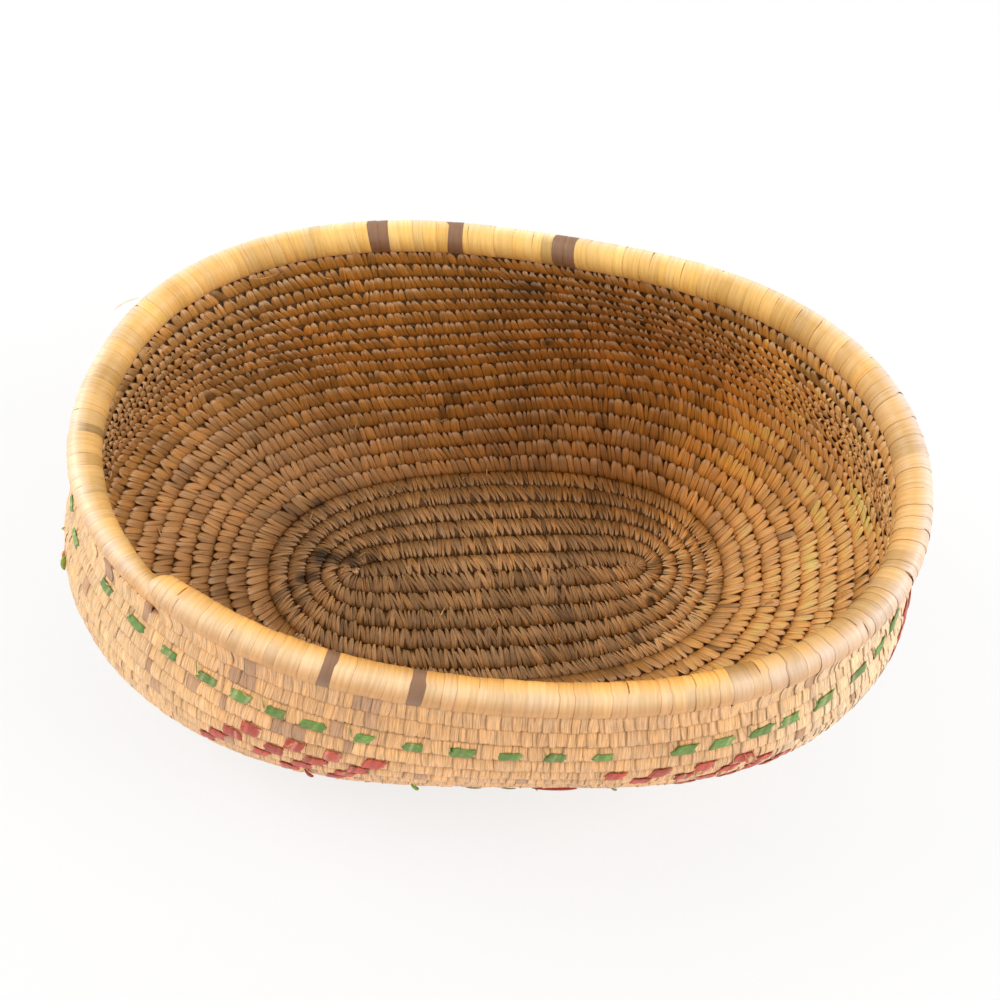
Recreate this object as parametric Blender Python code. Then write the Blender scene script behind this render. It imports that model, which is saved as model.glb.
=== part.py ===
"""Oval coiled basket, built as the spiral it is sewn from.

One cord of grass stems is wound clockwise (seen from above) from a straight core
in the floor, up the wall and round the rim. It is fed with new bunches of stems as
it grows, and each bunch is one object here. Run it in Blender 4.5. Metres, +Z up.
"""
import math

import bpy
import numpy as np
from mathutils import Vector

# The winding
STEPS_PER_TURN = 24  # points of the cord in one turn
WALL_ROWS = 19
FLOOR_STEPS = 117  # steps from the free end of the core to the first wall row
FREE_END_STEP = 3  # the core starts here, so the winding's first tight curl is left out
CORE_STEPS = 7.5  # where the straight core is spliced to the first floor coil
FLOOR_COILS = 3
FLOOR_COIL_STEPS = 36
SPLICE_STAGGER_STEPS = 3  # splices of neighbouring rows lie this far apart
SPLICE_CYCLE = 3
SPLICE_PLACE_STEPS = 0.5  # a splice falls this far past a point, so its ends are cut square

# The floor, an oval spiral about a straight core
CORE_HALF_LENGTH = 0.0652
FLOOR_SIDE_PITCH = 0.00935  # the cord is fuller on the long sides
FLOOR_END_PITCH = 0.0073  # and is pulled thin round the ends
CORE_OFFSET = 0.0023
SIDE_STRAIGHTNESS = 2.5
STRAIGHT_LOSS = 0.0072  # the straight sides shorten by this in each turn

# The ring where the wall starts, and how it lies under the rim
BASE_HALF_LENGTH = 0.1040
BASE_HALF_WIDTH = 0.0502
BASE_SQUARENESS = 2.32
BASE_ASPECT = 2.2  # of the floor's outermost turn, as its points are spread
BASE_TURN = math.radians(15.9)
BASE_SHIFT_X = 0.0135
BASE_SHIFT_Y = 0.0084
BASE_EASE_ROWS = 1.5  # rows over which the floor's oval becomes the wall's

# The wall
ROW_PITCH = 0.00712
WALL_LEANS = [
    math.radians(lean)
    for lean in (59, 52, 45, 37, 29, 27, 12.5, 12.7, 11.8, 0.8, -9.4, -20.1, -10.8)
]
WALL_BULGE = ((0, 0.01855, 0), (1, 0.0070, -0.0019), (2, 0.0087, 0.0135), (3, -0.0025, 0.0008))
ROW_FULLNESS = 0.0078  # a row's cord swells to this width where there is room
# A second unevenness, which pulls the shoulder in under the rim
WALL_SHOULDER = ((0, -0.01186, 0), (1, 0.0024, -0.0008), (2, -0.0076, -0.0003))
SHOULDER_POWER = 2.5  # the higher this is, the nearer the rim the shoulder lies
PROFILE_STEPS = 76
PHASE_STEP = 0.01

# The rim
RIM_HALF_LENGTH = 0.1396
RIM_HALF_WIDTH = 0.0946
RIM_SQUARENESS = 2.21
RIM_SHIFT_Y = -0.0027  # the rim has leaned out to one side by this
RIM_WAVE_SHARES = ((2, 0.0284, -0.0089), (3, 0.0331, -0.0100), (4, 0.0085, 0.0024))
RIM_CORD_RADIUS = 0.0064
RIM_TAPER_STEPS = 1.5
RIM_TRIM_STEPS = 0.7  # the rim starts and ends this much before the row below it closes
RIM_LIFT = ((1, 0.0096, 0.0092), (2, 0.0055, 0.0045), (3, 0.0008, 0.0008))

# The cord
CORD_GAP = 0.0006  # kept between neighbouring turns
SPLICE_GAP = 0.0003  # kept between two bunches end to end
CORD_SIDES_RESOLUTION = 1
FLAT_SHARE = 0.1  # share of a floor cord's diameter that is worn flat
NEAR_STEPS = 7  # points nearer than this along the cord are its own body
ROUND_END_SHARES = ((0.0, 0.45), (0.35, 0.84), (1.0, 1.0))  # of the radius: how far in, how wide
CUTTER_MARGIN = 0.02

CORE_COLOUR = (0.33, 0.23, 0.13)
FLOOR_COLOUR = (0.36, 0.25, 0.15)
WALL_COLOUR = (0.62, 0.42, 0.22)
RIM_COLOUR = (0.80, 0.62, 0.37)
CORD_ROUGHNESS = 0.62
RIM_ROUGHNESS = 0.42


def clear_scene():
    for obj in list(bpy.data.objects):
        bpy.data.objects.remove(obj, do_unlink=True)


def ease(value, start, end):
    """0 before start, 1 after end, and a smooth slope between them."""
    share = np.clip((value - start) / (end - start), 0, 1)
    return share * share * (3 - 2 * share)


def wall_profile():
    """Run and rise of the wall's middle surface, by rows from the floor's edge."""
    rows = np.linspace(0, WALL_ROWS, PROFILE_STEPS + 1)
    knots = np.linspace(0, WALL_ROWS, len(WALL_LEANS))
    lean = np.interp((rows[1:] + rows[:-1]) / 2, knots, WALL_LEANS)
    step = ROW_PITCH * (rows[1] - rows[0])
    run = np.concatenate([[0], np.cumsum(np.sin(lean)) * step])
    rise = np.concatenate([[0], np.cumsum(np.cos(lean)) * step])
    return rows, run, rise


ROWS, RUN, RISE = wall_profile()


def turned(x, y, angle):
    return x * np.cos(angle) - y * np.sin(angle), x * np.sin(angle) + y * np.cos(angle)


def waves(angle, terms):
    """A hand-made unevenness round the oval: (waves in one round, cosine part, sine part)."""
    return sum(a * np.cos(n * angle) + b * np.sin(n * angle) for n, a, b in terms)


def wall_surface(angle, row):
    """The wall's middle surface, by the angle round the oval and the rows of its profile."""
    share = np.interp(row, ROWS, RUN) / RUN[-1]
    middle = np.sin(math.pi * row / WALL_ROWS)
    half_length = BASE_HALF_LENGTH + (RIM_HALF_LENGTH - BASE_HALF_LENGTH) * share
    half_width = BASE_HALF_WIDTH + (RIM_HALF_WIDTH - BASE_HALF_WIDTH) * share
    power = BASE_SQUARENESS + (RIM_SQUARENESS - BASE_SQUARENESS) * share
    along = np.abs(np.cos(angle) / half_length) ** power
    across = np.abs(np.sin(angle) / half_width) ** power
    reach = (along + across) ** (-1 / power) * (1 + share * waves(angle, RIM_WAVE_SHARES))
    shoulder = np.sin(math.pi * (row / WALL_ROWS) ** SHOULDER_POWER)
    reach = reach + middle * waves(angle, WALL_BULGE) + shoulder * waves(angle, WALL_SHOULDER)
    x, y = turned(reach * np.cos(angle), reach * np.sin(angle), BASE_TURN * (1 - share))
    x = x + BASE_SHIFT_X * (1 - share)
    y = y + BASE_SHIFT_Y * (1 - share) + RIM_SHIFT_Y * row / WALL_ROWS
    lift = waves(angle, RIM_LIFT) * row / WALL_ROWS
    return np.stack([x, y, np.interp(row, ROWS, RISE) + lift], -1)


def height_up_wall(angles):
    """Way up the wall at each angle, square to the rows, for each row of the profile."""
    angle, row = np.meshgrid(angles, ROWS, indexing="ij")
    points = wall_surface(angle, row)
    round_wall = wall_surface(angle + PHASE_STEP, row) - wall_surface(angle - PHASE_STEP, row)
    round_wall = round_wall / np.linalg.norm(round_wall, axis=-1, keepdims=True)
    round_wall = (round_wall[:, 1:] + round_wall[:, :-1]) / 2
    step = np.diff(points, axis=1)
    step = step - (step * round_wall).sum(-1, keepdims=True) * round_wall
    way = np.cumsum(np.linalg.norm(step, axis=-1), axis=1)
    return np.concatenate([np.zeros((len(way), 1)), way], 1)


def wall_point(phase, row):
    """The wall's middle surface where its rows are laid evenly, row rows above the floor."""
    even = np.clip(row, 0, WALL_ROWS) / WALL_ROWS
    aspect = BASE_ASPECT + (RIM_HALF_LENGTH / RIM_HALF_WIDTH - BASE_ASPECT) * even
    angle = np.arctan2(np.sin(phase), aspect * np.cos(phase))
    ways = height_up_wall(angle)
    laid = np.array([np.interp(share * way[-1], way, ROWS) for share, way in zip(even, ways)])
    points = wall_surface(angle, laid)
    inward = np.stack([np.cos(angle) * FLOOR_END_PITCH, np.sin(angle) * FLOOR_SIDE_PITCH], -1)
    inward = np.stack([*turned(inward[:, 0], inward[:, 1], BASE_TURN)], -1)
    points[:, :2] += np.minimum(row, 0)[:, None] * inward
    return points


def floor_point(phase, turns):
    """The floor's spiral, turns round from the free end of its straight core."""
    reach = CORE_HALF_LENGTH + FLOOR_END_PITCH * (turns - 0.25)
    straight = np.tanh(SIDE_STRAIGHTNESS * np.cos(phase)) / math.tanh(SIDE_STRAIGHTNESS)
    side = CORE_HALF_LENGTH - STRAIGHT_LOSS * turns
    x = side * straight + (reach - side) * np.cos(phase) + FLOOR_END_PITCH / 4
    y = CORE_OFFSET - FLOOR_SIDE_PITCH / 4 + FLOOR_SIDE_PITCH * turns * np.sin(phase)
    x, y = turned(x, y, BASE_TURN)
    return np.stack([x + BASE_SHIFT_X, y + BASE_SHIFT_Y, 0 * x], -1)


def cord_centres(steps):
    """The middle of the cord on the basket's surface, before it is lifted off the table."""
    turns = steps / STEPS_PER_TURN
    phase = math.pi - 2 * math.pi * turns
    row = (steps - FLOOR_STEPS) / STEPS_PER_TURN - 0.5
    up_wall = ease(row, -BASE_EASE_ROWS, BASE_EASE_ROWS)[:, None]
    path = (1 - up_wall) * floor_point(phase, turns) + up_wall * wall_point(phase, row)
    on_rim = rim_share(steps)[:, None]
    seat = wall_point(phase, row - 0.5) + np.array([0, 0, RIM_CORD_RADIUS + CORD_GAP / 2])
    return (1 - on_rim) * path + on_rim * seat


def rim_end():
    return FLOOR_STEPS + (WALL_ROWS + 1) * STEPS_PER_TURN - RIM_TRIM_STEPS


def rim_share(steps):
    start = rim_end() - STEPS_PER_TURN
    return ease(steps, start, start + RIM_TAPER_STEPS)


def nearest_other_turn(steps, centres, radii):
    """For each point of the cord, the least way to another turn's surface of these radii."""
    middles = (steps[1:] + steps[:-1]) / 2
    start, along = centres[:-1], np.diff(centres, axis=0)
    nearest = []
    for step, centre in zip(steps, centres):
        share = np.clip(((centre - start) * along).sum(1) / (along**2).sum(1), 0, 1)
        away = np.linalg.norm(start + along * share[:, None] - centre, axis=1)
        away = away - radii[:-1] - share * np.diff(radii)
        nearest.append(away[np.abs(middles - step) > NEAR_STEPS].min())
    return np.array(nearest)


def cord_radii(steps, centres):
    """Half the way to the nearest other turn, less the gap: the cord fills its place."""
    free = nearest_other_turn(steps, centres, np.zeros(len(steps)))
    own_place = np.where(steps < FLOOR_STEPS, FLOOR_SIDE_PITCH, ROW_FULLNESS)
    plain = (np.minimum(free, own_place) - CORD_GAP) / 2
    on_rim = rim_share(steps)
    radii = (1 - on_rim) * plain + on_rim * RIM_CORD_RADIUS
    left = nearest_other_turn(steps, centres, radii) - radii
    return radii - np.maximum(0, CORD_GAP - left)


def wind_cord():
    """The whole cord as steps, centres and radii, standing centred on the table."""
    end = rim_end()
    steps = np.append(np.arange(FREE_END_STEP, end), end)
    centres = cord_centres(steps)
    radii = cord_radii(steps, centres)
    floor_radius = np.where(steps < FLOOR_STEPS, radii, (ROW_PITCH - CORD_GAP) / 2)
    centres[:, 2] += (1 - 2 * FLAT_SHARE) * floor_radius
    low, high = (centres - radii[:, None]).min(0), (centres + radii[:, None]).max(0)
    centres[:, :2] -= ((low + high) / 2)[:2]
    gap = (nearest_other_turn(steps, centres, radii) - radii).min()
    print(f"least gap between turns {gap * 1000:.2f} mm")
    return steps, centres, radii


def splices():
    """(name, first step, last step, colour) of each bunch in the cord."""
    wall_start = FLOOR_STEPS + SPLICE_PLACE_STEPS - SPLICE_STAGGER_STEPS
    pieces = [("start_core", FREE_END_STEP, CORE_STEPS, CORE_COLOUR)]
    last = CORE_STEPS
    for n in range(1, FLOOR_COILS + 1):
        end = wall_start - FLOOR_COIL_STEPS * (FLOOR_COILS - n)
        pieces.append((f"floor_coil_{n}", last, end, FLOOR_COLOUR))
        last = end
    for n in range(1, WALL_ROWS + 1):
        stagger = SPLICE_STAGGER_STEPS * (n % SPLICE_CYCLE - 1)
        end = FLOOR_STEPS + STEPS_PER_TURN * n + stagger + SPLICE_PLACE_STEPS
        pieces.append((f"wall_coil_{n:02d}", last, end, WALL_COLOUR))
        last = end
    pieces.append(("rim_coil", last, rim_end(), RIM_COLOUR))
    return pieces


def cut_length(cord, first, last):
    """The cord's points and radii from one splice to the next, its ends shaped."""
    steps, centres, radii = cord
    inside = (steps > first) & (steps < last)
    at = np.concatenate([[first], steps[inside], [last]])
    points = np.stack([np.interp(at, steps, centres[:, axis]) for axis in range(3)], -1)
    widths = np.interp(at, steps, radii)
    return shaped_end(*shaped_end(points, widths, first == steps[0]), last == steps[-1])


def shaped_end(points, widths, free):
    """Rounds the first end where it is free or trims it at a splice, and turns the run over."""
    inward = (points[1] - points[0]) / np.linalg.norm(points[1] - points[0])
    if free:
        ends = [(share * widths[0], wide * widths[0]) for share, wide in ROUND_END_SHARES]
    else:
        ends = [(SPLICE_GAP / 2, widths[0])]
    tips = np.array([points[0] + inward * way for way, _ in ends])
    points = np.concatenate([tips, points[1:]])
    widths = np.concatenate([[wide for _, wide in ends], widths[1:]])
    return points[::-1], widths[::-1]


def make_material(name, colour, roughness):
    material = bpy.data.materials.new(name)
    material.use_nodes = True
    shader = material.node_tree.nodes["Principled BSDF"]
    shader.inputs["Base Color"].default_value = (*colour, 1)
    shader.inputs["Roughness"].default_value = roughness
    shader.inputs["Metallic"].default_value = 0
    return material


def make_coil(name, points, widths, material):
    curve = bpy.data.curves.new(name, "CURVE")
    curve.dimensions = "3D"
    curve.twist_mode = "Z_UP"
    curve.bevel_depth = 1
    curve.bevel_resolution = CORD_SIDES_RESOLUTION
    curve.use_fill_caps = True
    spline = curve.splines.new("POLY")
    spline.points.add(len(points) - 1)
    for knot, point, width in zip(spline.points, points, widths):
        knot.co = (*point, 1)
        knot.radius = width
    spline.use_smooth = True
    curve.materials.append(material)
    obj = bpy.data.objects.new(name, curve)
    bpy.context.scene.collection.objects.link(obj)
    return obj


def make_table_cutter(centres):
    """A block whose top is the table, to wear the floor's cords flat."""
    size = centres.max(0) - centres.min(0) + 2 * CUTTER_MARGIN
    bpy.ops.mesh.primitive_cube_add(size=1, location=(0, 0, -CUTTER_MARGIN / 2))
    cutter = bpy.context.object
    cutter.name = "table_cutter"
    cutter.dimensions = (size[0], size[1], CUTTER_MARGIN)
    bpy.ops.object.transform_apply(scale=True)
    cutter.hide_render = True
    cutter.display_type = "WIRE"
    return cutter


def wear_flat(obj, cutter):
    flat = obj.modifiers.new("worn flat", "BOOLEAN")
    flat.operation = "DIFFERENCE"
    flat.solver = "EXACT"
    flat.object = cutter


def to_mesh(obj):
    """A Boolean takes a mesh, so a coil that is cut becomes one."""
    name, curve = obj.name, obj.data
    mesh = bpy.data.meshes.new_from_object(obj.evaluated_get(bpy.context.evaluated_depsgraph_get()))
    bpy.data.objects.remove(obj, do_unlink=True)
    bpy.data.curves.remove(curve)
    mesh.name = name
    solid = bpy.data.objects.new(name, mesh)
    bpy.context.scene.collection.objects.link(solid)
    return solid


def main():
    clear_scene()
    cord = wind_cord()
    cutter = make_table_cutter(cord[1])
    for name, first, last, colour in splices():
        points, widths = cut_length(cord, first, last)
        roughness = RIM_ROUGHNESS if name == "rim_coil" else CORD_ROUGHNESS
        material = make_material(f"{name}_palm", colour, roughness)
        coil = make_coil(name, [Vector(p) for p in points], widths, material)
        if (points[:, 2] - widths).min() < 0:
            wear_flat(to_mesh(coil), cutter)


if __name__ == "__main__":
    main()
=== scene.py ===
"""Dresses the coiled basket: every wrap of leaf round its spiral cord of grass stems,
the bound rim, the dyed strips and the loose fibres, on a plain pale stage."""

import math

import bmesh
import bpy
import numpy as np
from mathutils import Matrix, Vector


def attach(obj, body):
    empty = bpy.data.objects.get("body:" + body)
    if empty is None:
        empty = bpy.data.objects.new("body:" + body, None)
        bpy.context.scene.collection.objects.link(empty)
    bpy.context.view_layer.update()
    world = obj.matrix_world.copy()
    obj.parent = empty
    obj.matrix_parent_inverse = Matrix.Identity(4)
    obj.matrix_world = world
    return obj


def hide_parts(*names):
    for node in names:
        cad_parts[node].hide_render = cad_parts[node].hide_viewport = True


bl_info = {
    "name": "Coiled basket dressing",
    "version": (1, 0, 0),
    "blender": (4, 5, 0),
    "location": "3D View > Sidebar > Basket",
    "description": "Wraps, rim, dyed strips and loose fibres of an oval coiled basket",
    "category": "Object",
}

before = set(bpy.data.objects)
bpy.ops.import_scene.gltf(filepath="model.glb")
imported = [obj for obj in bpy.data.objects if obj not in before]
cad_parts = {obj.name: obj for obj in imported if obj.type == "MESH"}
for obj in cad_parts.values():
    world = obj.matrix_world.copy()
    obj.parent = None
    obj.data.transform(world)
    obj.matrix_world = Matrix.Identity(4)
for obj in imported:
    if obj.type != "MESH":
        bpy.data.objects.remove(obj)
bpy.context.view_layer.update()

# The winding, as in the part's source
STEPS_PER_TURN = 24
WALL_ROWS = 19
FLOOR_STEPS = 117
FREE_END_STEP = 3
CORE_STEPS = 7.5
FLOOR_COILS = 3
FLOOR_COIL_STEPS = 36
SPLICE_STAGGER_STEPS = 3
SPLICE_CYCLE = 3
RIM_TRIM_STEPS = 0.7
RIM_START = FLOOR_STEPS + WALL_ROWS * STEPS_PER_TURN - RIM_TRIM_STEPS
RIM_END = RIM_START + STEPS_PER_TURN
CORE_HALF_LENGTH = 0.0652
FLOOR_SIDE_PITCH = 0.00935
FLOOR_END_PITCH = 0.0073
CORE_OFFSET = 0.0023
SIDE_STRAIGHTNESS = 2.5
STRAIGHT_LOSS = 0.0072
BASE_HALF_LENGTH = 0.1040
BASE_HALF_WIDTH = 0.0502
BASE_SQUARENESS = 2.32
BASE_ASPECT = 2.2
BASE_TURN = math.radians(15.9)
BASE_SHIFT_X = 0.0135
BASE_SHIFT_Y = 0.0084
BASE_EASE_ROWS = 1.5
ROW_PITCH = 0.00712
WALL_LEANS = [
    math.radians(lean)
    for lean in (59, 52, 45, 37, 29, 27, 12.5, 12.7, 11.8, 0.8, -9.4, -20.1, -10.8)
]
WALL_BULGE = ((0, 0.01855, 0), (1, 0.0070, -0.0019), (2, 0.0087, 0.0135), (3, -0.0025, 0.0008))
WALL_SHOULDER = ((0, -0.01186, 0), (1, 0.0024, -0.0008), (2, -0.0076, -0.0003))
SHOULDER_POWER = 2.5
ROW_FULLNESS = 0.0078
PROFILE_STEPS = 76
PHASE_STEP = 0.01
RIM_HALF_LENGTH = 0.1396
RIM_HALF_WIDTH = 0.0946
RIM_SQUARENESS = 2.21
RIM_SHIFT_Y = -0.0027
RIM_WAVE_SHARES = ((2, 0.0284, -0.0089), (3, 0.0331, -0.0100), (4, 0.0085, 0.0024))
RIM_CORD_RADIUS = 0.0064
RIM_TAPER_STEPS = 1.5
RIM_LIFT = ((1, 0.0096, 0.0092), (2, 0.0055, 0.0045), (3, 0.0008, 0.0008))
CORD_GAP = 0.0006
FLAT_SHARE = 0.1
NEAR_STEPS = 7
FREE_TIP_STEP = 1.3  # where the wrapped core really ends
RIM_TIP = RIM_END + 0.2  # where the rounded end of the rim really stops
CORE_SEAM = 0.00035  # the core's first turn meets the second this far out
FINE_STEPS_EACH = 10  # points of the smooth path in one step of the winding
NEXT_TURN_REACH = 30  # how many of those points round the same place of the next turn are searched
MM = 0.001
WRAP_SEED, DYED_SEED, FIBRE_SEED = 100, 7, 9
STRAY_FIBRES = 260
STEM_SIDES = 20

# One wrap, station by station, as shares of the cord's own half height and half thickness: how
# far up the wall, how far into the basket, how wide and how crowned. On the wall it rises from
# the groove under the row, ends in a round tip over the row above, dives over the top and comes
# down outside to a second tip.
WALL_WRAP = (
    (-1.00, 0.45, 0.84, 0.5), (-0.93, 0.76, 1.00, 0.7), (-0.62, 0.94, 1.06, 0.9),
    (-0.20, 1.01, 1.08, 1.0), (0.22, 1.04, 1.06, 1.0), (0.60, 1.06, 1.00, 1.0),
    (0.93, 1.03, 0.82, 1.0), (1.18, 0.90, 0.42, 0.7), (1.02, 0.40, 0.50, 0.4),
    (0.96, -0.45, 1.00, 0.15), (0.80, -0.90, 1.20, 0.15), (0.30, -1.03, 1.22, 0.15),
    (-0.30, -1.06, 1.20, 0.18), (-0.80, -1.06, 1.06, 0.30), (-1.08, -0.98, 0.66, 0.30),
)
# Under the rim the outer half reaches up over the rim's lower edge
TOP_ROW_REACH = {9: (1.68, -0.88), 10: (1.42, -1.13), 11: (0.45, -1.09)}
# On the floor the tips point to the core instead, and are cut to points
FLOOR_WRAP = (
    (0.98, 0.30, 0.80, 0.5), (0.92, 0.60, 0.92, 0.8), (0.64, 0.86, 1.00, 1.0),
    (0.22, 1.00, 1.02, 1.0), (-0.22, 1.02, 0.98, 1.0), (-0.56, 0.96, 0.84, 1.0),
    (-0.84, 0.82, 0.60, 0.8), (-1.02, 0.64, 0.26, 0.5), (-0.97, 0.20, 0.45, 0.4),
    (-0.92, -0.50, 0.92, 0.35), (-0.60, -0.88, 1.04, 0.35), (0.00, -1.00, 1.04, 0.35),
    (0.55, -0.90, 1.00, 0.4), (0.92, -0.60, 0.60, 0.4),
)
TIP = 7  # the station of the inner tip
RIM_OUTER_SHARE = 0.73  # the rim bulges less outside than inside
RIM_WRAP = tuple(
    (math.sin(math.radians(angle)) * reach,
     math.cos(math.radians(angle)) * reach * (RIM_OUTER_SHARE if 90 < angle < 270 else 1), 1.0, 1.0)
    for angle, reach in zip(range(-95, 266, 20), [0.9, 0.97] + [1.0] * 15 + [0.97, 0.9])
)
# Section of a wrap: share of its width across, and height of its back in millimetres
THIN_SECTION = ((-0.50, -0.20), (-0.34, 0.09), (0.29, 0.11), (0.50, -0.18), (0.0, -0.85))
BROAD_SECTION = (
    (-0.50, -0.13), (-0.45, 0.04), (-0.15, 0.12), (0.18, 0.12), (0.45, 0.05),
    (0.50, -0.13), (0.0, -0.8),
)
RIM_END_RUN = 0.36  # steps of tight wraps at the rim's rounded end
BROWN_RIM_STEPS = (
    (594.62, 594.76), (593.91, 594.02), (580.22, 580.46), (581.12, 581.30), (582.28, 582.52),
)


def ease(value, start, end):
    share = np.clip((value - start) / (end - start), 0, 1)
    return share * share * (3 - 2 * share)


def wall_profile():
    rows = np.linspace(0, WALL_ROWS, PROFILE_STEPS + 1)
    knots = np.linspace(0, WALL_ROWS, len(WALL_LEANS))
    lean = np.interp((rows[1:] + rows[:-1]) / 2, knots, WALL_LEANS)
    step = ROW_PITCH * (rows[1] - rows[0])
    run = np.concatenate([[0], np.cumsum(np.sin(lean)) * step])
    rise = np.concatenate([[0], np.cumsum(np.cos(lean)) * step])
    return rows, run, rise


ROWS, RUN, RISE = wall_profile()


def turned(x, y, angle):
    return x * np.cos(angle) - y * np.sin(angle), x * np.sin(angle) + y * np.cos(angle)


def waves(angle, terms):
    return sum(a * np.cos(n * angle) + b * np.sin(n * angle) for n, a, b in terms)


def wall_surface(angle, row):
    share = np.interp(row, ROWS, RUN) / RUN[-1]
    middle = np.sin(math.pi * row / WALL_ROWS)
    half_length = BASE_HALF_LENGTH + (RIM_HALF_LENGTH - BASE_HALF_LENGTH) * share
    half_width = BASE_HALF_WIDTH + (RIM_HALF_WIDTH - BASE_HALF_WIDTH) * share
    power = BASE_SQUARENESS + (RIM_SQUARENESS - BASE_SQUARENESS) * share
    along = np.abs(np.cos(angle) / half_length) ** power
    across = np.abs(np.sin(angle) / half_width) ** power
    reach = (along + across) ** (-1 / power) * (1 + share * waves(angle, RIM_WAVE_SHARES))
    shoulder = np.sin(math.pi * (row / WALL_ROWS) ** SHOULDER_POWER)
    reach = reach + middle * waves(angle, WALL_BULGE) + shoulder * waves(angle, WALL_SHOULDER)
    x, y = turned(reach * np.cos(angle), reach * np.sin(angle), BASE_TURN * (1 - share))
    x = x + BASE_SHIFT_X * (1 - share)
    y = y + BASE_SHIFT_Y * (1 - share) + RIM_SHIFT_Y * row / WALL_ROWS
    lift = waves(angle, RIM_LIFT) * row / WALL_ROWS
    return np.stack([x, y, np.interp(row, ROWS, RISE) + lift], -1)


def height_up_wall(angles):
    angle, row = np.meshgrid(angles, ROWS, indexing="ij")
    points = wall_surface(angle, row)
    round_wall = wall_surface(angle + PHASE_STEP, row) - wall_surface(angle - PHASE_STEP, row)
    round_wall = round_wall / np.linalg.norm(round_wall, axis=-1, keepdims=True)
    round_wall = (round_wall[:, 1:] + round_wall[:, :-1]) / 2
    step = np.diff(points, axis=1)
    step = step - (step * round_wall).sum(-1, keepdims=True) * round_wall
    way = np.cumsum(np.linalg.norm(step, axis=-1), axis=1)
    return np.concatenate([np.zeros((len(way), 1)), way], 1)


def wall_point(phase, row):
    even = np.clip(row, 0, WALL_ROWS) / WALL_ROWS
    aspect = BASE_ASPECT + (RIM_HALF_LENGTH / RIM_HALF_WIDTH - BASE_ASPECT) * even
    angle = np.arctan2(np.sin(phase), aspect * np.cos(phase))
    ways = height_up_wall(angle)
    laid = np.array([np.interp(share * way[-1], way, ROWS) for share, way in zip(even, ways)])
    points = wall_surface(angle, laid)
    inward = np.stack([np.cos(angle) * FLOOR_END_PITCH, np.sin(angle) * FLOOR_SIDE_PITCH], -1)
    inward = np.stack([*turned(inward[:, 0], inward[:, 1], BASE_TURN)], -1)
    points[:, :2] += np.minimum(row, 0)[:, None] * inward
    return points


def floor_point(phase, turns):
    reach = CORE_HALF_LENGTH + FLOOR_END_PITCH * (turns - 0.25)
    straight = np.tanh(SIDE_STRAIGHTNESS * np.cos(phase)) / math.tanh(SIDE_STRAIGHTNESS)
    side = CORE_HALF_LENGTH - STRAIGHT_LOSS * turns
    x = side * straight + (reach - side) * np.cos(phase) + FLOOR_END_PITCH / 4
    y = CORE_OFFSET - FLOOR_SIDE_PITCH / 4 + FLOOR_SIDE_PITCH * turns * np.sin(phase)
    x, y = turned(x, y, BASE_TURN)
    return np.stack([x + BASE_SHIFT_X, y + BASE_SHIFT_Y, 0 * x], -1)


def rim_share(steps):
    return ease(steps, RIM_START, RIM_START + RIM_TAPER_STEPS)


def cord_centres(steps):
    turns = steps / STEPS_PER_TURN
    phase = math.pi - 2 * math.pi * turns
    row = (steps - FLOOR_STEPS) / STEPS_PER_TURN - 0.5
    up_wall = ease(row, -BASE_EASE_ROWS, BASE_EASE_ROWS)[:, None]
    path = (1 - up_wall) * floor_point(phase, turns) + up_wall * wall_point(phase, row)
    on_rim = rim_share(steps)[:, None]
    seat = wall_point(phase, row - 0.5) + np.array([0, 0, RIM_CORD_RADIUS + CORD_GAP / 2])
    return (1 - on_rim) * path + on_rim * seat


def nearest_other_turn(steps, centres, radii):
    middles = (steps[1:] + steps[:-1]) / 2
    start, along = centres[:-1], np.diff(centres, axis=0)
    nearest = []
    for step, centre in zip(steps, centres):
        share = np.clip(((centre - start) * along).sum(1) / (along**2).sum(1), 0, 1)
        away = np.linalg.norm(start + along * share[:, None] - centre, axis=1)
        away = away - radii[:-1] - share * np.diff(radii)
        nearest.append(away[np.abs(middles - step) > NEAR_STEPS].min())
    return np.array(nearest)


def cord_radii(steps, centres):
    free = nearest_other_turn(steps, centres, np.zeros(len(steps)))
    own_place = np.where(steps < FLOOR_STEPS, FLOOR_SIDE_PITCH, ROW_FULLNESS)
    plain = (np.minimum(free, own_place) - CORD_GAP) / 2
    on_rim = rim_share(steps)
    radii = (1 - on_rim) * plain + on_rim * RIM_CORD_RADIUS
    left = nearest_other_turn(steps, centres, radii) - radii
    return radii - np.maximum(0, CORD_GAP - left)


def unit(vectors):
    return vectors / np.linalg.norm(vectors, axis=-1, keepdims=True)


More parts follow.
